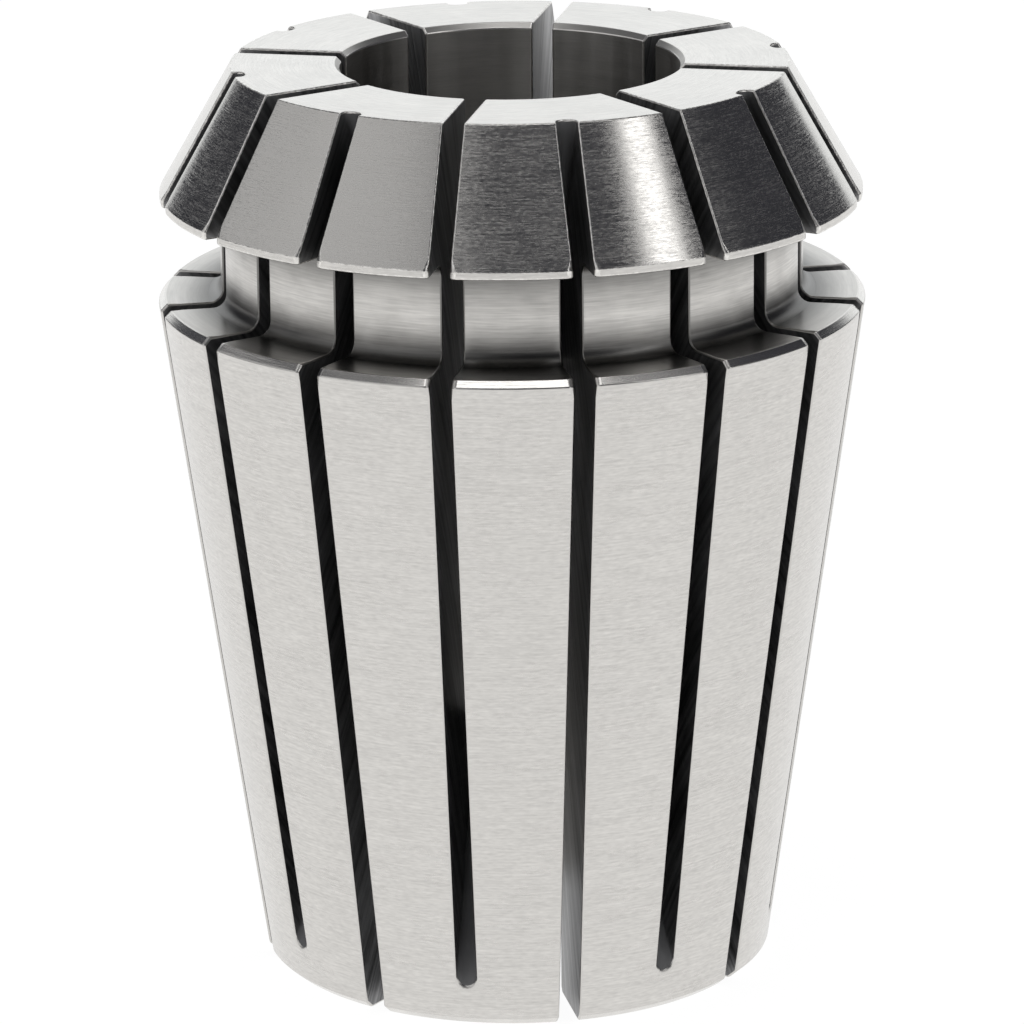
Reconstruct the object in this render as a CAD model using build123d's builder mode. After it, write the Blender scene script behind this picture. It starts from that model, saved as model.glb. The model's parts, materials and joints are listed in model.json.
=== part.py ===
from build123d import *
import math
import os

# Spring collet: one turned and ground steel sleeve with a long outer taper,
# an extraction groove, a short head cone and a straight clamping bore.
# Two rings of saw slots, one cut from each end, let it close on a shank.
#
# The axis is Z. The small end stands on z = 0 and the head is at the top.
# Lengths are in millimetres, angles in degrees.

# ---- outside ----
length = 34.0               # small end to front face
gauge_dia = 26.0            # largest diameter of the body taper
taper_half_angle = 8.0      # body taper, measured from the axis
shoulder_break = 0.25       # 45 degree break between taper and shoulder
small_end_break = 0.3       # 45 degree break round the small end

# ---- extraction groove and head ----
groove_width = 3.6          # shoulder to underside of head
groove_dia = 21.4           # diameter at the bottom of the groove
groove_radius = 0.5         # turned radius in both corners of the groove
head_height = 4.95          # underside of head to front face
head_dia = 25.74            # across the rim of the head
head_rim = 0.3              # straight land below the head cone
head_half_angle = 30.0      # head cone, measured from the axis

# ---- bore ----
bore_dia = 12.4             # clamping bore, as ground
bore_mouth_break = 0.2      # 45 degree break at both ends of the bore

# ---- slots ----
slots_per_end = 8
slot_width = 0.75
first_front_slot = 33.75    # angle of one front slot from +X
saw_radius = 31.5           # radius of the slitting saw
saw_reach = 0.5             # how far the saw runs past the bore wall
saw_corner = 0.25           # 45 degree corners dressed on the saw's rim
front_slot_web = 1.5        # height of the front slots' closed end above the small end
rear_slot_notch = 0.4       # how far the rear slots break into the front face
saw_overrun = 1.5           # clearance of the saw beyond every outer surface

# ---- worked out from the sizes above ----
bore_r = bore_dia / 2
gauge_r = gauge_dia / 2
groove_r = groove_dia / 2
rim_r = head_dia / 2
taper_slope = math.tan(math.radians(taper_half_angle))
head_slope = math.tan(math.radians(head_half_angle))

head_bottom = length - head_height
shoulder = head_bottom - groove_width
gauge_height = shoulder - shoulder_break
small_end_r = gauge_r - gauge_height * taper_slope
rim_top = head_bottom + head_rim
front_face_r = rim_r - (length - rim_top) * head_slope

slot_pitch = 360 / slots_per_end
first_rear_slot = first_front_slot - slot_pitch / 2

# The saw runs along the collet with its rim just inside the bore, so each
# slot's closed end is an arc that climbs from the bore out to the surface.
run_r = bore_r - saw_reach
clear_r = gauge_r + saw_overrun


def arc_height(distance_out):
    """Axial height of the saw's rim at a distance out from where it runs."""
    return math.sqrt(2 * saw_radius * distance_out - distance_out**2)


front_end_r = small_end_r + front_slot_web * taper_slope
front_run_end = front_slot_web + arc_height(front_end_r - run_r)
rear_run_end = length - arc_height(front_face_r - rear_slot_notch - run_r)
rim_corner = min(saw_corner, 0.45 * slot_width)

# ---- saw path of a front slot: open at the head, closed near the small end ----
with BuildPart() as front_saw:
    with BuildSketch(Plane.XZ):
        with BuildLine():
            front_stop = (clear_r, front_run_end - arc_height(clear_r - run_r))
            Polyline(
                (run_r, front_run_end),
                (run_r, length + saw_overrun),
                (clear_r, length + saw_overrun),
                front_stop,
            )
            TangentArc((run_r, front_run_end), front_stop, tangent=(0, -1))
        make_face()
    extrude(amount=slot_width / 2, both=True)
    chamfer(front_saw.edges().filter_by(GeomType.CIRCLE), length=rim_corner)

# ---- saw path of a rear slot: open at the small end, closed in the head ----
with BuildPart() as rear_saw:
    with BuildSketch(Plane.XZ):
        with BuildLine():
            rear_stop = (clear_r, rear_run_end + arc_height(clear_r - run_r))
            Polyline(
                (run_r, rear_run_end),
                (run_r, -saw_overrun),
                (clear_r, -saw_overrun),
                rear_stop,
            )
            TangentArc((run_r, rear_run_end), rear_stop, tangent=(0, 1))
        make_face()
    extrude(amount=slot_width / 2, both=True)
    chamfer(rear_saw.edges().filter_by(GeomType.CIRCLE), length=rim_corner)

# ---- the collet ----
with BuildPart() as collet:
    with BuildSketch(Plane.XZ) as half_section:
        with BuildLine():
            Polyline(
                (bore_r + bore_mouth_break, 0),
                (small_end_r - small_end_break, 0),
                (small_end_r + small_end_break * taper_slope, small_end_break),
                (gauge_r, gauge_height),
                (gauge_r - shoulder_break, shoulder),
                (groove_r, shoulder),
                (groove_r, head_bottom),
                (rim_r, head_bottom),
                (rim_r, rim_top),
                (front_face_r, length),
                (bore_r + bore_mouth_break, length),
                (bore_r, length - bore_mouth_break),
                (bore_r, bore_mouth_break),
                close=True,
            )
        make_face()
        groove_corners = half_section.vertices().filter_by(
            lambda corner: abs(corner.X - groove_r) < 0.001
        )
        fillet(groove_corners, radius=min(groove_radius, 0.45 * groove_width))
    revolve(axis=Axis.Z)

    with PolarLocations(0, slots_per_end, start_angle=first_front_slot):
        add(front_saw.part, mode=Mode.SUBTRACT)
    with PolarLocations(0, slots_per_end, start_angle=first_rear_slot):
        add(rear_saw.part, mode=Mode.SUBTRACT)

collet.part.label = "collet"

os.makedirs("parts", exist_ok=True)
export_step(collet.part, "parts/collet.step")
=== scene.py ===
"""Spring collet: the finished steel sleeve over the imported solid, and the studio it stands in.

All sizes are in metres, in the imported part's own frame: the axis is Z, the small end
stands on z = 0 and the head is at the top. Angles are in radians unless said otherwise.
"""

import json
import math

import bpy
from bpy.props import FloatProperty, FloatVectorProperty, IntProperty, PointerProperty
from mathutils import Matrix, Vector


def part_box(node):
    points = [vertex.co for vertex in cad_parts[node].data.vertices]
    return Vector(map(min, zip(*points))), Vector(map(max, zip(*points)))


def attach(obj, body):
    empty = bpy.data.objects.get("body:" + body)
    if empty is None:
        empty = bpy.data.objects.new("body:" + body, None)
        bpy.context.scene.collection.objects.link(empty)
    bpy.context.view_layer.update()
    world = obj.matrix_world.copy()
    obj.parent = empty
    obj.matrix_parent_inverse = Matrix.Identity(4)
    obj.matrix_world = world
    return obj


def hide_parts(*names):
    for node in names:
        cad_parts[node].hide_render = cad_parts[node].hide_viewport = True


bl_info = {
    "name": "Spring Collet",
    "version": (1, 0, 0),
    "blender": (4, 5, 0),
    "location": "3D View > Sidebar > Collet",
    "description": "Builds a slotted spring collet and the studio it stands in",
    "category": "Add Mesh",
}

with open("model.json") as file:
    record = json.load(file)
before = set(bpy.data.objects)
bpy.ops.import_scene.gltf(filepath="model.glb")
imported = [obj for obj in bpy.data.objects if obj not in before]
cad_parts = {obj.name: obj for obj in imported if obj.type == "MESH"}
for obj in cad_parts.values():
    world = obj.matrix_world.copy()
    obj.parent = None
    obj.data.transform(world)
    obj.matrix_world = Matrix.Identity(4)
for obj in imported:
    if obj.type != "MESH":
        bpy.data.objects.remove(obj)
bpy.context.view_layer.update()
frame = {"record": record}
cad_low, cad_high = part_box("collet")
bore_mount = next(m for m in frame["record"]["mounts"] if m["name"] == "bore")

MM = 0.001


# ---------------------------------------------------------------- sizes


def length_setting(name, description, default):
    """A length that a user can set, in metres."""
    return FloatProperty(name=name, description=description, default=default, unit="LENGTH")


def angle_setting(name, description, degrees):
    """An angle that a user can set, with its default in degrees."""
    default = math.radians(degrees)
    return FloatProperty(name=name, description=description, default=default, unit="ROTATION")


class ColletSizes(bpy.types.PropertyGroup):
    """Sizes of the collet."""

    length: length_setting("Length", "Small end to front face", cad_high.z - cad_low.z)
    gauge_dia: length_setting(
        "Gauge diameter", "Largest diameter of the body taper", cad_high.x - cad_low.x
    )
    taper_half_angle: angle_setting("Taper half angle", "Body taper, measured from the axis", 8.0)
    shoulder_break: length_setting(
        "Shoulder break", "45 degree break between taper and shoulder", 0.25 * MM
    )
    small_end_break: length_setting(
        "Small end break", "45 degree break round the small end", 0.3 * MM
    )
    groove_width: length_setting("Groove width", "Shoulder to underside of head", 3.6 * MM)
    groove_dia: length_setting(
        "Groove diameter", "Diameter at the bottom of the extraction groove", 21.4 * MM
    )
    groove_radius: length_setting(
        "Groove radius", "Turned radius in both corners of the groove", 0.5 * MM
    )
    head_height: length_setting("Head height", "Underside of head to front face", 4.95 * MM)
    head_dia: length_setting("Head diameter", "Across the rim of the head", 25.74 * MM)
    head_rim: length_setting("Head rim", "Straight land below the head cone", 0.3 * MM)
    head_half_angle: angle_setting("Head half angle", "Head cone, measured from the axis", 30.0)
    bore_dia: length_setting(
        "Bore diameter", "Clamping bore, as ground", 2 * MM * bore_mount["dims"]["r_mm"]
    )
    mouth_break: length_setting(
        "Bore mouth break", "45 degree break at both ends of the bore", 0.2 * MM
    )
    edge_round: length_setting(
        "Edge round", "Radius left on every turned or ground corner", 0.09 * MM
    )
    slots_per_end: IntProperty(
        name="Slots per end",
        description="Number of slots cut from each end",
        default=8,
        min=3,
        max=12,
    )
    slot_width: length_setting("Slot width", "Width of every slot", 0.75 * MM)
    first_front_slot: angle_setting("First front slot", "Angle of one front slot from +X", 33.75)
    saw_radius: length_setting("Saw radius", "Radius of the slitting saw", 31.5 * MM)
    saw_reach: length_setting("Saw reach", "How far the saw runs past the bore wall", 0.5 * MM)
    saw_crown: length_setting(
        "Saw crown", "How far the saw's worn rim falls away at its sides", 0.25 * MM
    )
    slot_break: length_setting(
        "Slot edge break", "Width of the deburred edge along the slots", 0.07 * MM
    )
    corner_wear: length_setting(
        "Corner wear",
        "How much wider the slot edge's break is at the shoulder and the head's rim",
        0.16 * MM,
    )
    wear_reach: length_setting(
        "Wear reach", "How far from those corners the wear fades out", 0.4 * MM
    )
    front_slot_web: length_setting(
        "Front slot web", "Height of the front slots' closed end above the small end", 1.5 * MM
    )
    rear_slot_notch: length_setting(
        "Rear slot notch", "How far the rear slots break into the front face", 0.4 * MM
    )


class ColletFinishes(bpy.types.PropertyGroup):
    """Colours and marks of the steel."""

    steel: FloatVectorProperty(
        name="Steel",
        description="Colour of the ground and turned steel",
        default=(0.74, 0.722, 0.692),
        subtype="COLOR",
        min=0.0,
        max=1.0,
    )
    sawn_steel: FloatVectorProperty(
        name="Sawn steel",
        description="Colour of the sawn and hardened slot walls",
        default=(0.33, 0.33, 0.335),
        subtype="COLOR",
        min=0.0,
        max=1.0,
    )
    mark_length: length_setting(
        "Mark length", "Typical length of a short grinding mark round the collet", 0.3 * MM
    )
    mark_pitch: length_setting("Mark pitch", "Typical distance between grinding marks", 0.06 * MM)


class ColletStudio(bpy.types.PropertyGroup):
    """The camera, and how bright the ground is."""

    camera_place: FloatVectorProperty(
        name="Camera place",
        description="Where the camera stands",
        default=(0.2276 * MM, -217.05 * MM, 82.98 * MM),
        subtype="TRANSLATION",
        unit="LENGTH",
    )
    camera_heading: angle_setting(
        "Camera heading", "Turn to the left from looking along +Y", 0.0819
    )
    camera_pitch: angle_setting("Camera pitch", "Angle below the horizon", 16.963)
    camera_roll: angle_setting("Camera roll", "Turn about the line of sight", -0.5613)
    lens: FloatProperty(
        name="Lens",
        description="Focal length in millimetres on a 36 mm wide sensor",
        default=214.24,
    )
    ground_glow: FloatProperty(
        name="Ground glow",
        description="Brightness of the floor and backdrop, where 1 and more is seen as white",
        default=1.13,
        min=0.0,
        max=2.0,
    )


# ---------------------------------------------------------------- the mesh


class SawCut:
    """One family of slots: the saw's rim seen in the plane of a slot.

    A point of that plane is (out, height). The rim is a circle that runs parallel to
    the axis and stops at run_end, so the slot's floor is an arc of it. A bearing is the
    angle round the saw's centre, from level towards the slot's closed end."""

    HALVINGS = 50

    def __init__(self, sizes, run_end, closes_upwards):
        self.centre_out = sizes.bore_dia / 2 - sizes.saw_reach + sizes.saw_radius
        self.centre_height = run_end
        self.radius = sizes.saw_radius
        self.upwards = 1 if closes_upwards else -1
        self.half_width = sizes.slot_width / 2
        self.crown = sizes.saw_crown

    def clearance(self, out, height):
        """Distance outside the space that the saw has swept; negative inside it."""
        past_stop = max(0.0, (height - self.centre_height) * self.upwards)
        return math.hypot(out - self.centre_out, past_stop) - self.radius

    def rim_radius(self, turn):
        """Radius of the crowned rim, where turn is 0 in the middle and 90 degrees at the side."""
        return self.radius - self.crown * (1 - math.cos(turn))

    def crossing(self, start, end, lateral, rim_radius):
        """Where a rim of that radius crosses a straight line of the section, and at what share."""
        target = rim_radius - self.radius

        def miss(share):
            radius = start.x + (end.x - start.x) * share
            height = start.y + (end.y - start.y) * share
            out = math.sqrt(radius**2 - lateral**2)
            return self.clearance(out, height) - target

        low, high = 0.0, 1.0
        rising = miss(high) > miss(low)
        for _ in range(self.HALVINGS):
            middle = (low + high) / 2
            if (miss(middle) > 0) == rising:
                high = middle
            else:
                low = middle
        return start.lerp(end, low), low

    def floor_point(self, turn, bearing):
        """Point of the floor at a bearing."""
        radius = self.rim_radius(turn)
        out = self.centre_out - radius * math.cos(bearing)
        return Vector((out, self.centre_height + self.upwards * radius * math.sin(bearing)))

    def bearing(self, point):
        """Bearing of a point of the slot's plane."""
        past_stop = (point.y - self.centre_height) * self.upwards
        return math.atan2(past_stop, self.centre_out - point.x)

    def floor_normal(self, turn, side, bearing):
        """Direction out of the floor into the slot, as (out, lateral, height)."""
        lateral = -side * self.crown * math.sin(turn)
        inward = self.half_width * math.cos(turn)
        size = math.hypot(lateral, inward)
        inward, lateral = inward / size, lateral / size
        return Vector(
            (inward * math.cos(bearing), lateral, -self.upwards * inward * math.sin(bearing))
        )


class Row:
    """One ring of the sleeve's surface: a place and normal in the section.

    Tips holds the slots that end at this ring: for each cut, the step across its tip."""

    def __init__(self, place, normal, finish, tips=None):
        self.place = place
        self.normal = normal
        self.finish = finish
        self.tips = tips or {}


class SleeveMesh:
    """Builds the collet's surface as strips between its slots.

    Rings of points follow the half section round a closed loop: up the outside, across
    the front face and down the bore. Where a slot is open, the ring stops at its broken
    edge. At a slot's closed end, rings step across its rounded tip."""

    TIP_STEPS = 4
    STRIP_COLUMNS = 12
    FLOOR_STEPS = 16
    LONGEST_STEP = 2.5 * MM
    EDGE_FACET = math.radians(30)
    GROOVE_FACET = math.radians(15)
    WEAR_STEPS = (0.25, 0.5, 1.0)  # shares of the wear reach that have a row
    FINISHES = (
        "ground",
        "cone",
        "turned",
        "groove",
        "shoulder",
        "face",
        "bore",
        "mouth",
        "edge",
        "sawn front",
        "sawn rear",
    )

    def __init__(self, sizes):
        self.sizes = sizes
        self.points = []
        self.normals = []
        self.faces = []
        self.face_finish = []
        self.work_out_section()
        self.lay_rows()
        self.lay_strips()
        for index in range(self.slot_count()):
            self.cut_slot(index)

    # ---- section ----

    def work_out_section(self):
        """Corners of the half section as (place, radius of its round, finish of the next side)."""
        s = self.sizes
        taper = math.tan(s.taper_half_angle)
        head = math.tan(s.head_half_angle)
        bore = s.bore_dia / 2
        gauge = s.gauge_dia / 2
        groove = s.groove_dia / 2
        rim = s.head_dia / 2
        head_bottom = s.length - s.head_height
        shoulder = head_bottom - s.groove_width
        gauge_height = shoulder - s.shoulder_break
        small_end = gauge - gauge_height * taper
        rim_top = head_bottom + s.head_rim
        face = rim - (s.length - rim_top) * head
        mouth = bore + s.mouth_break
        edge = s.edge_round
        self.shoulder = shoulder
        self.head_bottom = head_bottom
        self.corners = [
            (Vector((mouth, 0)), edge, "turned"),
            (Vector((small_end - s.small_end_break, 0)), edge, "turned"),
            (Vector((small_end + s.small_end_break * taper, s.small_end_break)), edge, "ground"),
            (Vector((gauge, gauge_height)), edge, "turned"),
            (Vector((gauge - s.shoulder_break, shoulder)), edge, "shoulder"),
            (Vector((groove, shoulder)), s.groove_radius, "groove"),
            (Vector((groove, head_bottom)), s.groove_radius, "shoulder"),
            (Vector((rim, head_bottom)), edge, "ground"),
            (Vector((rim, rim_top)), edge, "cone"),
            (Vector((face, s.length)), edge, "face"),
            (Vector((mouth, s.length)), edge, "mouth"),
            (Vector((bore, s.length - s.mouth_break)), edge, "bore"),
            (Vector((bore, s.mouth_break)), edge, "mouth"),
        ]
        self.worn_corners = [
            Vector((gauge, gauge_height)),
            Vector((gauge - s.shoulder_break, shoulder)),
            Vector((rim, head_bottom)),
            Vector((rim, rim_top)),
        ]
        run = bore - s.saw_reach

        def climb(radius):
            """Axial height of the saw's rim at a distance from the axis, above where it runs."""
            out = radius - run
            return math.sqrt(2 * s.saw_radius * out - out**2)

        front_end = small_end + s.front_slot_web * taper
        rear_end = face - s.rear_slot_notch
        self.front = SawCut(s, s.front_slot_web + climb(front_end), closes_upwards=False)
        self.rear = SawCut(s, s.length - climb(rear_end), closes_upwards=True)

    def lay_rows(self):
        """Walks round the section and puts rows at its corners and along its sides."""
        count = len(self.corners)
        directions = []
        for i in range(count):
            step = self.corners[(i + 1) % count][0] - self.corners[i][0]
            directions.append(step.normalized())
        starts, ends, arcs = [], [], []
        for i, (corner, radius, _) in enumerate(self.corners):
            before = directions[i - 1]
            after = directions[i]
            normal_a = Vector((before.y, -before.x))
            normal_b = Vector((after.y, -after.x))
            turn = math.atan2(before.x * after.y - before.y * after.x, before.dot(after))
            side = 1 if turn > 0 else -1
            centre = corner - side * radius * (normal_a + normal_b) / (1 + normal_a.dot(normal_b))
            facet = self.GROOVE_FACET if radius > self.sizes.edge_round else self.EDGE_FACET
            steps = max(2, round(abs(turn) / facet))
            arc = []
            for k in range(steps + 1):
                angle = turn * k / steps
                c, w = math.cos(angle), math.sin(angle)
                normal = Vector((normal_a.x * c - normal_a.y * w, normal_a.x * w + normal_a.y * c))
                arc.append((centre + side * radius * normal, normal))
            arcs.append(arc)
            starts.append(arc[0][0])
            ends.append(arc[-1][0])
        self.rows = []
        for i, (_, _, finish) in enumerate(self.corners):
            arc_finish = "groove" if self.corners[i][1] == self.sizes.groove_radius else "edge"
            for place, normal in arcs[i][:-1]:
                self.rows.append(Row(place, normal, arc_finish))
            normal = arcs[i][-1][1]
            self.lay_side(ends[i], starts[(i + 1) % count], normal, finish)

    def lay_side(self, start, end, normal, finish):
        """Rows of one straight side, with those of its slot tips and of its worn corners.

        A side shorter than a slot is wide has neither."""
        tips_on = {"ground": [self.front], "face": [self.rear], "bore": [self.rear, self.front]}
        length = (end - start).length
        stops = [(1.0, end, None)]
        if length > self.sizes.slot_width:
            for cut in tips_on.get(finish, []):
                for step in range(self.TIP_STEPS + 1):
                    place, share = self.tip_outline(cut, step, start, end)
                    stops.append((share, place, {cut: step}))
            for part in self.WEAR_STEPS:
                share = part * self.sizes.wear_reach / length
                for corner, at in ((start, share), (end, 1 - share)):
                    if self.wear_at(corner) > 0:
                        stops.append((at, start.lerp(end, at), {}))
        stops.sort(key=lambda stop: stop[0])
        self.rows.append(Row(start, normal, finish))
        last_share, last_tips = 0.0, {}
        for share, place, tips in stops:
            if not tips or tips.keys() != last_tips.keys():
                pieces = math.ceil((share - last_share) * length / self.LONGEST_STEP)
                for k in range(1, pieces):
                    at = last_share + (share - last_share) * k / pieces
                    self.rows.append(Row(start.lerp(end, at), normal, finish))
            if tips is not None:
                self.rows.append(Row(place, normal, finish, tips))
            last_share, last_tips = share, tips

    def wear_at(self, place):
        """Share of the corner wear at a place of the section, 1 at a worn corner."""
        nearest = min((place - corner).length for corner in self.worn_corners)
        return max(0.0, 1 - nearest / self.sizes.wear_reach)

    def break_at(self, row):
        """Sideways width of the slots' broken edge at a row."""
        return self.sizes.slot_break + self.sizes.corner_wear * self.wear_at(row.place)

    def tip_turn(self, step):
        """Turn of the saw's crown at a step: 0 in the slot's middle, 90 degrees at its wall."""
        return math.radians(90) * step / self.TIP_STEPS

    def tip_outline(self, cut, step, start, end):
        """Outer line of a tip's broken edge on a straight side, at one step across the slot."""
        turn = self.tip_turn(step)
        lateral = (cut.half_width + self.sizes.slot_break) * math.sin(turn)
        return cut.crossing(start, end, lateral, cut.rim_radius(turn) + self.sizes.slot_break)

    # ---- points ----

    def add_point(self, angle, out, lateral, height, normal):
        """A point given in the plane of a slot at that angle. The normal is (out, lateral, height)."""
        c, w = math.cos(angle), math.sin(angle)
        self.points.append((out * c - lateral * w, out * w + lateral * c, height))
        self.normals.append((normal[0] * c - normal[1] * w, normal[0] * w + normal[1] * c, normal[2]))
        return len(self.points) - 1

    def add_face(self, corners, finish):
        """A face, with the corners' indices in order round it."""
        self.faces.append(corners)
        self.face_finish.append(self.FINISHES.index(finish))

    def slot_count(self):
        """How many slots there are. The even ones are front slots and the odd ones rear slots."""
        return 2 * self.sizes.slots_per_end

    def slot_angle(self, index):
        """Angle of a slot's middle plane from +X."""
        half_pitch = math.pi / self.sizes.slots_per_end
        return self.sizes.first_front_slot + half_pitch * index

    def cut_of(self, index):
        """The saw cut that a slot belongs to."""
        return self.rear if index % 2 else self.front

    def gap(self, row, index):
        """Half of a slot's opening in a row, up to the outer line of its broken edge."""
        cut = self.cut_of(index)
        full = cut.half_width + self.break_at(row)
        if cut in row.tips:
            return full * math.sin(self.tip_turn(row.tips[cut]))
        return full if cut.clearance(row.place.x, row.place.y) < 0 else 0.0

    def surface_point(self, row, angle, lateral=0.0):
        """A point of a row, at a sideways distance from the plane of that angle."""
        turn = math.asin(lateral / row.place.x)
        return self.add_point(
            angle + turn, row.place.x, 0, row.place.y, (row.normal.x, 0, row.normal.y)
        )

    def lay_strips(self):
        """The surface between the slots, as one strip of quads from each slot to the next.

        Edges holds, for each row and slot, the points on the slot's two sides."""
        count = self.slot_count()
        self.edges = []
        for row in self.rows:
            sides = []
            for index in range(count):
                angle = self.slot_angle(index)
                gap = self.gap(row, index)
                if gap:
                    before = self.surface_point(row, angle, -gap)
                    after = self.surface_point(row, angle, gap)
                    sides.append((before, after))
                else:
                    shared = self.surface_point(row, angle)
                    sides.append((shared, shared))
            self.edges.append(sides)
        for index in range(count):
            self.lay_strip(index)

    def lay_strip(self, index):
        """The strip from one slot to the next."""
        after = (index + 1) % self.slot_count()
        columns = self.STRIP_COLUMNS
        grid = []
        for row, sides in zip(self.rows, self.edges):
            start = self.slot_angle(index) + math.asin(self.gap(row, index) / row.place.x)
            end = self.slot_angle(index + 1) - math.asin(self.gap(row, after) / row.place.x)
            line = [sides[index][1]]
            for k in range(1, columns):
                line.append(self.surface_point(row, start + (end - start) * k / columns))
            line.append(sides[after][0])
            grid.append(line)
        for i, row in enumerate(self.rows):
            here, there = grid[i], grid[(i + 1) % len(self.rows)]
            for k in range(columns):
                self.add_face((here[k], here[k + 1], there[k + 1], there[k]), row.finish)

    # ---- slots ----

    def cut_slot(self, index):
        """Broken edges, walls and floor of one slot."""
        cut = self.cut_of(index)
        angle = self.slot_angle(index)
        path = self.open_path(cut, index)
        rings = {side: self.break_edge(cut, angle, index, path, side) for side in (-1, 1)}
        inner = {side: [points[2] for points in ring] for side, ring in rings.items()}
        across_tip = [(-1, k) for k in range(self.TIP_STEPS, 0, -1)]
        across_tip += [(1, k) for k in range(self.TIP_STEPS + 1)]
        first_tip = [inner[side][k] for side, k in across_tip]
        last_tip = [inner[side][-1 - k] for side, k in across_tip]
        finish = "sawn front" if cut is self.front else "sawn rear"
        floor = self.lay_floor(cut, angle, first_tip, last_tip, finish)
        for side in (-1, 1):
            rim = inner[side][self.TIP_STEPS : -self.TIP_STEPS]
            floor_side = [line[0 if side < 0 else -1] for line in floor[1:-1]]
            wall = rim + floor_side[::-1]
            self.add_face(tuple(wall if side > 0 else wall[::-1]), finish)

    def open_path(self, cut, index):
        """Indices of the rows that one slot crosses, in order from one of its tips to the other."""
        count = len(self.rows)
        gaps = [self.gap(row, index) for row in self.rows]
        closed = next(i for i in range(count) if gaps[i] == 0 and not self.rows[i].tips)
        order = [(closed + k) % count for k in range(count)]
        return [i for i in order if gaps[i] > 0 or cut in self.rows[i].tips]

    def break_edge(self, cut, angle, index, path, side):
        """The deburred edge along one side of a slot: outer, middle and inner points for each row.

        The two sides share the points in the middle of each tip."""
        ring = []
        for place_in_path, i in enumerate(path):
            row = self.rows[i]
            step = row.tips.get(cut)
            outer = self.edges[i][index][0 if side < 0 else 1]
            if step == 0 and side > 0:
                ring.append(self.shared_tips[place_in_path > 0])
                continue
            if step is None:
                lateral = cut.half_width
                sharp = row.place
                inner = row.place - row.normal * self.sizes.slot_break
                wall_normal = Vector((0, -side, 0))
            else:
                turn = self.tip_turn(step)
                lateral = cut.half_width * math.sin(turn)
                sharp, inner = self.tip_corner(cut, row, lateral, turn)
                wall_normal = cut.floor_normal(
                    turn, side, cut.bearing(self.in_slot_plane(inner, lateral))
                )
            inner_at = self.in_slot_plane(inner, lateral)
            sharp_at = self.in_slot_plane(sharp, lateral)
            outer_lateral = lateral * (1 + self.break_at(row) / cut.half_width)
            outer_at = self.in_slot_plane(row.place, outer_lateral)
            # The middle of a curve from outer to inner that bends towards the sharp corner.
            middle_at = 0.25 * outer_at + 0.5 * sharp_at + 0.25 * inner_at
            middle_lateral = side * (0.25 * outer_lateral + 0.75 * lateral)
            surface = Vector((row.normal.x, 0, row.normal.y))
            middle_normal = (surface + wall_normal).normalized()
            middle = self.add_point(angle, middle_at.x, middle_lateral, middle_at.y, middle_normal)
            inside = self.add_point(angle, inner_at.x, side * lateral, inner_at.y, wall_normal)
            ring.append((outer, middle, inside))
        for near, far in zip(ring, ring[1:]):
            for a, b in ((0, 1), (1, 2)):
                quad = (near[b], near[a], far[a], far[b])
                self.add_face(quad if side > 0 else quad[::-1], "edge")
        if side < 0:
            self.shared_tips = (ring[0], ring[-1])
        return ring

    def in_slot_plane(self, place, lateral):
        """(out, height) of a section point that stands sideways of the slot's middle plane."""
        return Vector((math.sqrt(place.x**2 - lateral**2), place.y))

    def tip_corner(self, cut, row, lateral, turn):
        """Where the crowned rim meets the surface, and meets it one edge break below."""
        reach = 4 * self.sizes.slot_width
        along = Vector((-row.normal.y, row.normal.x)) * reach
        depth = row.normal * self.sizes.slot_break
        start, end = row.place - along, row.place + along
        sharp, _ = cut.crossing(start, end, lateral, cut.rim_radius(turn))
        inner, _ = cut.crossing(start - depth, end - depth, lateral, cut.rim_radius(turn))
        return sharp, inner

    def lay_floor(self, cut, angle, first_tip, last_tip, finish):
        """The slot's closed end: the saw's crowned rim between the two tips."""
        steps = self.TIP_STEPS
        grid = [list(first_tip)]
        for k in range(1, self.FLOOR_STEPS):
            grid.append([])
        for j in range(-steps, steps + 1):
            turn = self.tip_turn(abs(j))
            side = 1 if j > 0 else -1
            lateral = cut.half_width * math.sin(turn)
            bearings = []
            for tip in (first_tip, last_tip):
                x, y, height = self.points[tip[j + steps]]
                out = x * math.cos(angle) + y * math.sin(angle)
                bearings.append(cut.bearing(Vector((out, height))))
            for k in range(1, self.FLOOR_STEPS):
                bearing = bearings[0] + (bearings[1] - bearings[0]) * k / self.FLOOR_STEPS
                at = cut.floor_point(turn, bearing)
                normal = cut.floor_normal(turn, side, bearing)
                grid[k].append(self.add_point(angle, at.x, side * lateral, at.y, normal))
        grid.append(list(last_tip))
        for here, there in zip(grid, grid[1:]):
            for k in range(2 * steps):
                self.add_face((here[k], here[k + 1], there[k + 1], there[k]), finish)
        return grid

    def to_object(self, name, materials):
        """Makes the Blender mesh, with the worked out normals and one material for each finish."""
        mesh = bpy.data.meshes.new(name)
        mesh.from_pydata(self.points, [], self.faces)
        for finish in self.FINISHES:
            mesh.materials.append(materials[finish])
        mesh.polygons.foreach_set("material_index", self.face_finish)
        mesh.polygons.foreach_set("use_smooth", [True] * len(self.faces))
        mesh.normals_split_custom_set_from_vertices(self.normals)
        mesh.validate(clean_customdata=False)
        mesh.update()
        sleeve = bpy.data.objects.new(name, mesh)
        bpy.context.scene.collection.objects.link(sleeve)
        return sleeve


# ---------------------------------------------------------------- shader maths


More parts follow.
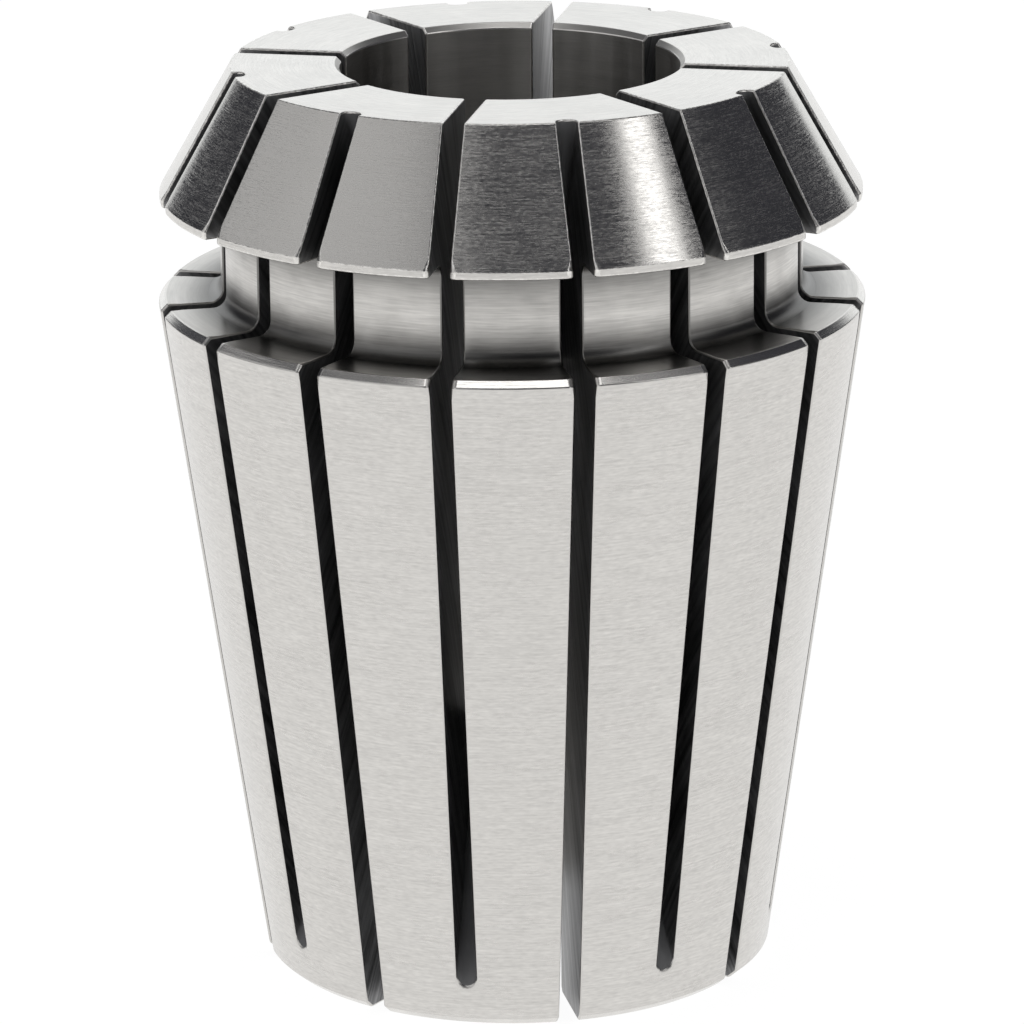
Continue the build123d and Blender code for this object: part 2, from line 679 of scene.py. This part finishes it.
class Value:
    """A number or colour inside a material, which can be used in plain expressions."""

    def __init__(self, tree, socket):
        self.tree = tree
        self.socket = socket

    def math(self, operation, *values):
        return self.tree.node("ShaderNodeMath", {"operation": operation}, list(values))

    def __add__(self, other):
        return self.math("ADD", self, other)

    __radd__ = __add__

    def __sub__(self, other):
        return self.math("SUBTRACT", self, other)

    def __rsub__(self, other):
        return self.math("SUBTRACT", other, self)

    def __mul__(self, other):
        return self.math("MULTIPLY", self, other)

    __rmul__ = __mul__

    def __truediv__(self, other):
        return self.math("DIVIDE", self, other)

    def root(self):
        return self.math("SQRT", self)

    def absolute(self):
        return self.math("ABSOLUTE", self)

    def larger(self, other):
        return self.math("MAXIMUM", self, other)

    def fade(self, low, high, start=0.0, end=1.0):
        """Runs smoothly from start to end as this value goes from low to high."""
        settings = {"interpolation_type": "SMOOTHSTEP"}
        return self.tree.node("ShaderNodeMapRange", settings, [self, low, high, start, end])


class Shading:
    """The node tree of one material or world."""

    def __init__(self, owner):
        owner.use_nodes = True
        self.nodes = owner.node_tree.nodes
        self.links = owner.node_tree.links
        self.nodes.clear()
        self.known_place = None

    def node(self, kind, settings=None, values=None, out=0):
        """Adds a node: its settings first, then its sockets by place or by name."""
        node = self.nodes.new(kind)
        for name, setting in (settings or {}).items():
            setattr(node, name, setting)
        named = values if isinstance(values, dict) else dict(enumerate(values or []))
        for key, value in named.items():
            if isinstance(value, Value):
                self.links.new(value.socket, node.inputs[key])
            else:
                node.inputs[key].default_value = value
        return Value(self, node.outputs[out]) if node.outputs else None

    def place(self):
        """The object's own x, y, z and the distance from its axis, worked out once."""
        if self.known_place is None:
            coordinates = self.node("ShaderNodeTexCoord", out="Object")
            x, y, z = self.parts(coordinates)
            self.known_place = (x, y, z, (x * x + y * y).root())
        return self.known_place

    def parts(self, vector):
        """The x, y and z of a vector."""
        split = self.node("ShaderNodeSeparateXYZ", values=[vector]).socket.node
        return [Value(self, part) for part in split.outputs]

    def noise(self, x, y, z, detail):
        """Smooth random value from 0 to 1 at a point given in noise cells."""
        point = self.node("ShaderNodeCombineXYZ", values=[x, y, z])
        values = {"Vector": point, "Scale": 1.0, "Detail": detail}
        return self.node("ShaderNodeTexNoise", values=values)

    def cloud(self, size, detail):
        """The same noise in all directions, with cells of that size."""
        x, y, z, _ = self.place()
        return self.noise(x / size, y / size, z / size, detail)

    def mix(self, share, first, second):
        """Colour between two colours, which the mix node has as its sockets 6 and 7."""
        values = {0: share, 6: first, 7: second}
        return self.node("ShaderNodeMix", {"data_type": "RGBA"}, values, out=2)

    def bump(self, height, strength, distance):
        """A normal that follows that height."""
        values = {"Strength": strength, "Distance": distance, "Height": height}
        return self.node("ShaderNodeBump", values=values)

    def surface(self, values):
        """Ends a material with a shader that has those values."""
        shader = self.node("ShaderNodeBsdfPrincipled", values=values)
        self.node("ShaderNodeOutputMaterial", values=[shader])


# ---------------------------------------------------------------- finishes


# Near black that painted shade mixes into the steel's colour in the groove and along its slot edges.
PAINTED_SHADE_COLOUR = (0.02, 0.02, 0.02, 1)

# Offsets in noise cells, so that marks of two kinds don't repeat each other.
LONG_MARKS_SHIFT = 50
SCUFFS_SHIFT = 3.7
SAW_BANDS_SHIFT = 7.0


def rgba(colour, factor):
    """A colour times a factor, with alpha."""
    return (*(min(1.0, channel * factor) for channel in colour), 1.0)


def steel_colours(finishes, brightness, spread):
    """The darkest and lightest tone of a finish, a share below and above its middle tone."""
    dark = rgba(finishes.steel, brightness * (1 - spread))
    light = rgba(finishes.steel, brightness * (1 + spread))
    return dark, light


def lathe_marks(shade, length, pitch):
    """Fine marks round the axis, some of that length and some much longer, on any turned surface."""
    x, y, z, r = shade.place()
    longer = 5 * length
    across = (z - r) / pitch
    short = shade.noise(x / length, y / length, across, detail=1.0)
    long = shade.noise(x / longer, y / longer, across + LONG_MARKS_SHIFT, detail=1.0)
    return short * 0.55 + long * 0.45


def steel_material(name, finishes, look, painted_shade):
    """Bare steel with fine marks round the axis, soft cloudy tone and a brushed highlight.

    Where the look has scatter, the lighter marks are rougher, so they catch light where the
    steel mirrors a dark room. Where it has scuffs, light rough streaks run along the axis.
    The painted shade gives the share of the steel's colour kept where shade is painted in near black,
    or is None."""
    cloud_size = 1.6 * MM
    scuff_width = 0.9 * MM
    scuff_length = 18 * MM
    material = bpy.data.materials.new(name)
    shade = Shading(material)
    x, y, z, r = shade.place()
    fine_length = finishes.mark_length * look["mark_length"]
    broad_length = finishes.mark_length * 8
    broad_pitch = finishes.mark_pitch * 5
    fine = lathe_marks(shade, fine_length, finishes.mark_pitch)
    broad = lathe_marks(shade, broad_length, broad_pitch)
    cloud = shade.cloud(cloud_size, detail=3.0)
    tone = (
        0.5
        + (fine - 0.5) * look["fine_tone"]
        + (broad - 0.5) * look["broad_tone"]
        + (cloud - 0.5) * look["cloud_tone"]
    )
    roughness = (
        look["roughness"]
        + (fine - 0.5) * look["scatter"]
        + (broad - 0.5) * 0.06
        + (cloud - 0.5) * 0.06
    )
    if look["scuffs"]:
        shifted = x / scuff_width + SCUFFS_SHIFT
        scuffs = shade.noise(shifted, y / scuff_width, z / scuff_length, detail=2.0)
        roughness = roughness + (scuffs - 0.5) * look["scuffs"]
        tone = tone + (scuffs - 0.5) * look["scuffs"]
    dark, light = steel_colours(finishes, look["brightness"], spread=0.35)
    grey = shade.mix(tone, dark, light)
    # Painted shade: where it is less than 1, the colour goes towards near black.
    if painted_shade:
        grey = shade.mix(painted_shade(z, r), PAINTED_SHADE_COLOUR, grey)
    quarter_turn = 0.25
    shade.surface(
        {
            "Base Color": grey,
            "Metallic": 1.0,
            "Roughness": roughness,
            "Normal": shade.bump(fine + broad * 0.5, strength=look["bump"], distance=0.02 * MM),
            "Anisotropic": look["brushed"],
            "Anisotropic Rotation": quarter_turn,
        }
    )
    return material


def edge_material(name, finishes, painted_shade, sparkle):
    """Edges broken by hand with a stone: bright, with small uneven facets that sparkle.

    The painted shade darkens their colour towards near black in the groove's corners, and
    slightly on the body; sparkle is the depth of the facets, both as functions of height and radius."""
    nick_size = 0.16 * MM
    material = bpy.data.materials.new(name)
    shade = Shading(material)
    _, _, z, r = shade.place()
    nicks = shade.cloud(nick_size, detail=2.0)
    dark, light = steel_colours(finishes, brightness=1.0, spread=0.3)
    bare = shade.mix((nicks - 0.5) * sparkle(z, r) * 2.5 + 0.5, dark, light)
    shade.surface(
        {
            # Painted shade mixes the edge colour towards near black.
            "Base Color": shade.mix(painted_shade(z, r), PAINTED_SHADE_COLOUR, bare),
            "Metallic": 1.0,
            "Roughness": 0.28,
            "Normal": shade.bump(nicks * sparkle(z, r), strength=0.8, distance=0.03 * MM),
        }
    )
    return material


def sawn_material(name, finishes, cut):
    """Slots: walls with the arcs that the slitting saw leaves, and a plain dull floor."""
    cloud_size = 2.5 * MM
    mark_width, mark_length = 0.4 * MM, 4 * MM
    band_width, band_length = 2.5 * MM, 8 * MM
    material = bpy.data.materials.new(name)
    shade = Shading(material)
    _, _, z, r = shade.place()
    reach = cut.centre_out - r
    arc = z + cut.upwards * (cut.radius**2 - reach * reach).larger(0).root()
    past_stop = ((z - cut.centre_height) * cut.upwards).larger(0)
    above_floor = cut.radius - (reach * reach + past_stop * past_stop).root()
    on_wall = (above_floor / MM).fade(0.15, 0.45)
    marks = shade.noise(arc / mark_width, r / mark_length, 0.0, detail=3.0)
    bands = shade.noise(arc / band_width, r / band_length, SAW_BANDS_SHIFT, detail=2.0)
    cloud = shade.cloud(cloud_size, detail=3.0)
    streaks = ((marks - 0.5) * 1.5 + (bands - 0.5) * 1.2) * on_wall
    tone = 0.4 + streaks + (cloud - 0.5) * 0.5
    grey = shade.mix(tone, rgba(finishes.sawn_steel, 0.3), rgba(finishes.sawn_steel, 1.5))
    shade.surface(
        {
            "Base Color": grey,
            "Metallic": 0.8,
            "Roughness": 0.75 - on_wall * 0.39,
            "Normal": shade.bump(marks * on_wall, strength=0.6, distance=0.02 * MM),
        }
    )
    return material


# Looks of the bare steel. Brightness is times the steel's own colour, mark_length times the
# typical length, the tones are how much fine marks, broad marks and clouds change the colour,
# and scatter and scuffs are 0 where a look doesn't name them.
NO_MARKS = {"scatter": 0.0, "scuffs": 0.0}
LOOKS = {
    "ground": {
        "brightness": 0.88,
        "mark_length": 1.0,
        "fine_tone": 0.85,
        "broad_tone": 0.12,
        "cloud_tone": 0.12,
        "bump": 0.1,
        "roughness": 0.28,
        "brushed": 0.6,
    },
    "cone": {
        "brightness": 0.84,
        "mark_length": 0.6,
        "fine_tone": 0.3,
        "broad_tone": 0.12,
        "cloud_tone": 0.12,
        "bump": 0.08,
        "scatter": 0.55,
        "roughness": 0.23,
        "brushed": 0.8,
    },
    "turned": {
        "brightness": 0.94,
        "mark_length": 2.0,
        "fine_tone": 0.6,
        "broad_tone": 0.6,
        "cloud_tone": 0.3,
        "bump": 0.2,
        "roughness": 0.22,
        "brushed": 0.3,
    },
    "groove": {
        "brightness": 0.88,
        "mark_length": 3.0,
        "fine_tone": 1.0,
        "broad_tone": 0.6,
        "cloud_tone": 0.9,
        "bump": 0.06,
        "roughness": 0.33,
        "brushed": 0.6,
    },
    "shoulder": {
        "brightness": 0.8,
        "mark_length": 3.0,
        "fine_tone": 0.6,
        "broad_tone": 0.8,
        "cloud_tone": 0.4,
        "bump": 0.06,
        "roughness": 0.3,
        "brushed": 0.0,
    },
    "face": {
        "brightness": 0.9,
        "mark_length": 1.5,
        "fine_tone": 0.6,
        "broad_tone": 0.2,
        "cloud_tone": 0.4,
        "bump": 0.15,
        "roughness": 0.22,
        "brushed": 0.3,
    },
    "bore": {
        "brightness": 0.6,
        "mark_length": 2.0,
        "fine_tone": 0.4,
        "broad_tone": 0.3,
        "cloud_tone": 0.2,
        "bump": 0.2,
        "scuffs": 0.42,
        "roughness": 0.42,
        "brushed": 0.3,
    },
    "mouth": {
        "brightness": 0.6,
        "mark_length": 2.0,
        "fine_tone": 0.4,
        "broad_tone": 0.3,
        "cloud_tone": 0.2,
        "bump": 0.2,
        "roughness": 0.38,
        "brushed": 0.0,
    },
}


class COLLET_OT_sleeve(bpy.types.Operator):
    """Build the slotted steel sleeve with its edges, slots and finishes"""

    bl_idname = "collet.sleeve"
    bl_label = "Collet Sleeve"

    def execute(self, context):
        sizes = context.scene.collet_sizes
        finishes = context.scene.collet_finishes
        built = SleeveMesh(sizes)

        def neck_painted_shade(z, r):
            """Painted shade that darkens the neck's colour towards both corners of the groove."""
            above_shoulder = (z - built.shoulder) / MM
            below_head = (built.head_bottom - z) / MM
            return above_shoulder.fade(0.0, 1.6, start=0.12) * below_head.fade(0.0, 2.0, start=0.25)

        def shoulder_painted_shade(z, r):
            """Painted shade on the groove's two sides, darkest at the neck."""
            out_of_neck = (r - sizes.groove_dia / 2) / MM
            return out_of_neck.fade(0.2, 2.0, start=0.12)

        def edge_painted_shade(z, r):
            """Painted shade on the edges of the slots in the groove, and a slight plain darkening of
            the edges on the body.
            """
            above_shoulder = (z - built.shoulder) / MM
            below_head = (built.head_bottom - z) / MM
            out_of_neck = (r - sizes.groove_dia / 2) / MM
            in_groove = above_shoulder.fade(-0.1, 0.1) * below_head.fade(-0.1, 0.1)
            in_neck = 1 - out_of_neck.fade(0.6, 1.8)
            on_body = ((built.shoulder - z) / MM).fade(-0.2, 0.3)
            return 1 - in_groove * in_neck * 0.75 - on_body * 0.15

        def head_sparkle(z, r):
            """Deep facets on the head outside the bore, shallow ones everywhere else."""
            shallow = 0.12
            on_head = ((z - built.head_bottom) / MM).fade(-0.5, 0.5)
            outside = ((r - sizes.bore_dia / 2 - sizes.mouth_break) / MM).fade(0.0, 0.5)
            return on_head * outside * (1 - shallow) + shallow

        # Finishes with shade painted into their colour near the neck.
        painted_shades = {"groove": neck_painted_shade, "shoulder": shoulder_painted_shade}
        materials = {
            finish: steel_material(
                f"steel_{finish}", finishes, {**NO_MARKS, **look}, painted_shades.get(finish)
            )
            for finish, look in LOOKS.items()
        }
        materials["edge"] = edge_material("steel_edge", finishes, edge_painted_shade, head_sparkle)
        materials["sawn front"] = sawn_material("steel_sawn_front", finishes, built.front)
        materials["sawn rear"] = sawn_material("steel_sawn_rear", finishes, built.rear)
        sleeve = built.to_object("collet_sleeve", materials)
        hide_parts("collet")
        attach(sleeve, "root")
        return {"FINISHED"}


# ---------------------------------------------------------------- studio

# Steel mirrors the ends of the backdrop, so its width is part of the light.
FLOOR_HALF_SIDE = 1.5
BACKDROP_DISTANCE = 0.8
BACKDROP_SHIFT = 0.05
BACKDROP_HALF_WIDTH = 0.57
BACKDROP_HALF_HEIGHT = 0.4

LAMP_DISTANCE = 0.7
LAMP_POWER = 4.0  # power of an area lamp for each square metre and unit of brightness

WHITE = (1, 1, 1, 1)
COOL_WHITE = (0.97, 0.99, 1, 1)
PAPER = (0.8, 0.8, 0.8, 1)
DIM_ROOM = (0.043, 0.044, 0.052, 1)


def plane(name, centre, across, upwards):
    """A flat rectangle of the studio, from its centre and two half sides."""
    corners = [(-1, -1), (1, -1), (1, 1), (-1, 1)]
    points = [centre + across * a + upwards * b for a, b in corners]
    mesh = bpy.data.meshes.new(name)
    mesh.from_pydata(points, [], [(0, 1, 2, 3)])
    panel = bpy.data.objects.new(name, mesh)
    bpy.context.scene.collection.objects.link(panel)
    return panel


def seen_directly(shade):
    """1 for rays that come from the camera, a reflection or a glass, 0 for all others."""
    camera, glossy, through = (
        shade.node("ShaderNodeLightPath", out=name)
        for name in ("Is Camera Ray", "Is Glossy Ray", "Is Transmission Ray")
    )
    return camera.larger(glossy).larger(through)


def floor_material(brightness):
    """Pale floor that is white wherever it is seen and still takes a faint shadow."""
    glow_share = 0.85
    material = bpy.data.materials.new("studio_floor")
    shade = Shading(material)
    paper = shade.node("ShaderNodeBsdfDiffuse", values={"Color": PAPER})
    glow = shade.node("ShaderNodeEmission", values={"Color": WHITE, "Strength": brightness})
    share = seen_directly(shade) * glow_share
    mixed = shade.node("ShaderNodeMixShader", values=[share, paper, glow])
    shade.node("ShaderNodeOutputMaterial", values=[mixed])
    return material


def backdrop_material(brightness):
    """Plain backdrop, a little cool, and bright enough to be seen as white."""
    material = bpy.data.materials.new("studio_backdrop")
    shade = Shading(material)
    glow = shade.node("ShaderNodeEmission", values={"Color": COOL_WHITE, "Strength": brightness})
    shade.node("ShaderNodeOutputMaterial", values=[glow])
    return material


def softbox(name, azimuth, elevation, width, height, radiance):
    """An area lamp in that direction from the collet, in degrees. Azimuth 0 is -Y and 90 is +X."""
    a, e = math.radians(azimuth), math.radians(elevation)
    away = Vector((math.sin(a) * math.cos(e), -math.cos(a) * math.cos(e), math.sin(e)))
    lamp = bpy.data.lights.new(name, "AREA")
    lamp.shape = "RECTANGLE"
    lamp.size = width
    lamp.size_y = height
    lamp.energy = radiance * LAMP_POWER * width * height
    box = bpy.data.objects.new(name, lamp)
    box.location = away * LAMP_DISTANCE + Vector((0, 0, cad_high.z / 2))
    box.rotation_mode = "QUATERNION"
    box.rotation_quaternion = away.to_track_quat("Z", "Y")
    box.visible_camera = False
    bpy.context.scene.collection.objects.link(box)


def light_world():
    """A dim room, which the camera itself sees as white.

    Steel mirrors its pale ceiling and the low wall on the camera's side, which is pale at
    both ends and nearly dark between them."""
    ceiling_glow = 0.2
    wall_glow = 0.06
    end_glow = 0.5
    world = bpy.data.worlds.new("studio")
    bpy.context.scene.world = world
    shade = Shading(world)
    direction = shade.node("ShaderNodeTexCoord", out="Generated")
    sideways, forward, upward = shade.parts(direction)
    ceiling = upward.fade(0.74, 0.88) * ceiling_glow
    at_ends = sideways.absolute().fade(0.5, 0.68)
    on_camera_side = (0 - forward).fade(0.0, 0.3)
    low = upward.fade(0.3, 0.42, start=1.0, end=0.0)
    wall = on_camera_side * low * (at_ends * end_glow + wall_glow)
    room = shade.mix(ceiling + wall, DIM_ROOM, WHITE)
    camera = shade.node("ShaderNodeLightPath", out="Is Camera Ray")
    seen = shade.mix(camera, room, WHITE)
    background = shade.node("ShaderNodeBackground", values={"Color": seen, "Strength": 1.0})
    shade.node("ShaderNodeOutputWorld", values=[background])


class COLLET_OT_studio(bpy.types.Operator):
    """Build the floor, the backdrop, the lamps and the camera"""

    bl_idname = "collet.studio"
    bl_label = "Studio"

    def execute(self, context):
        studio = context.scene.collet_studio
        floor = plane(
            "floor",
            centre=Vector((0, 0, 0)),
            across=Vector((FLOOR_HALF_SIDE, 0, 0)),
            upwards=Vector((0, FLOOR_HALF_SIDE, 0)),
        )
        floor.data.materials.append(floor_material(studio.ground_glow))
        backdrop = plane(
            "backdrop",
            centre=Vector((BACKDROP_SHIFT, BACKDROP_DISTANCE, BACKDROP_HALF_HEIGHT)),
            across=Vector((BACKDROP_HALF_WIDTH, 0, 0)),
            upwards=Vector((0, 0, BACKDROP_HALF_HEIGHT)),
        )
        backdrop.data.materials.append(backdrop_material(studio.ground_glow))
        light_world()
        softbox("lamp_left", azimuth=-66, elevation=33, width=1.5, height=0.45, radiance=0.45)
        softbox("lamp_right", azimuth=58, elevation=38, width=0.12, height=0.4, radiance=1.8)
        softbox("lamp_top", azimuth=0, elevation=78, width=0.4, height=0.2, radiance=1.6)
        data = bpy.data.cameras.new("camera")
        data.sensor_width = 36.0
        data.lens = studio.lens
        data.clip_start = 0.01
        data.clip_end = 10.0
        camera = bpy.data.objects.new("camera", data)
        turn = (
            Matrix.Rotation(studio.camera_heading, 4, "Z")
            @ Matrix.Rotation(math.pi / 2 - studio.camera_pitch, 4, "X")
            @ Matrix.Rotation(studio.camera_roll, 4, "Z")
        )
        camera.matrix_world = Matrix.Translation(Vector(studio.camera_place)) @ turn
        context.scene.collection.objects.link(camera)
        context.scene.camera = camera
        context.scene.view_settings.view_transform = "Standard"
        return {"FINISHED"}


# ---------------------------------------------------------------- panel and registration


class COLLET_PT_panel(bpy.types.Panel):
    """Buttons and sizes of the collet"""

    bl_idname = "COLLET_PT_panel"
    bl_label = "Spring Collet"
    bl_space_type = "VIEW_3D"
    bl_region_type = "UI"
    bl_category = "Collet"

    def draw(self, context):
        layout = self.layout
        for group in (
            context.scene.collet_sizes,
            context.scene.collet_finishes,
            context.scene.collet_studio,
        ):
            box = layout.box()
            for name in group.__annotations__:
                box.prop(group, name)
        layout.operator(COLLET_OT_sleeve.bl_idname)
        layout.operator(COLLET_OT_studio.bl_idname)


CLASSES = (
    ColletSizes,
    ColletFinishes,
    ColletStudio,
    COLLET_OT_sleeve,
    COLLET_OT_studio,
    COLLET_PT_panel,
)


def register():
    for cls in CLASSES:
        bpy.utils.register_class(cls)
    bpy.types.Scene.collet_sizes = PointerProperty(type=ColletSizes)
    bpy.types.Scene.collet_finishes = PointerProperty(type=ColletFinishes)
    bpy.types.Scene.collet_studio = PointerProperty(type=ColletStudio)


def unregister():
    del bpy.types.Scene.collet_studio
    del bpy.types.Scene.collet_finishes
    del bpy.types.Scene.collet_sizes
    for cls in reversed(CLASSES):
        bpy.utils.unregister_class(cls)


def main():
    register()
    bpy.ops.collet.sleeve()
    bpy.ops.collet.studio()


if __name__ == "__main__":
    main()
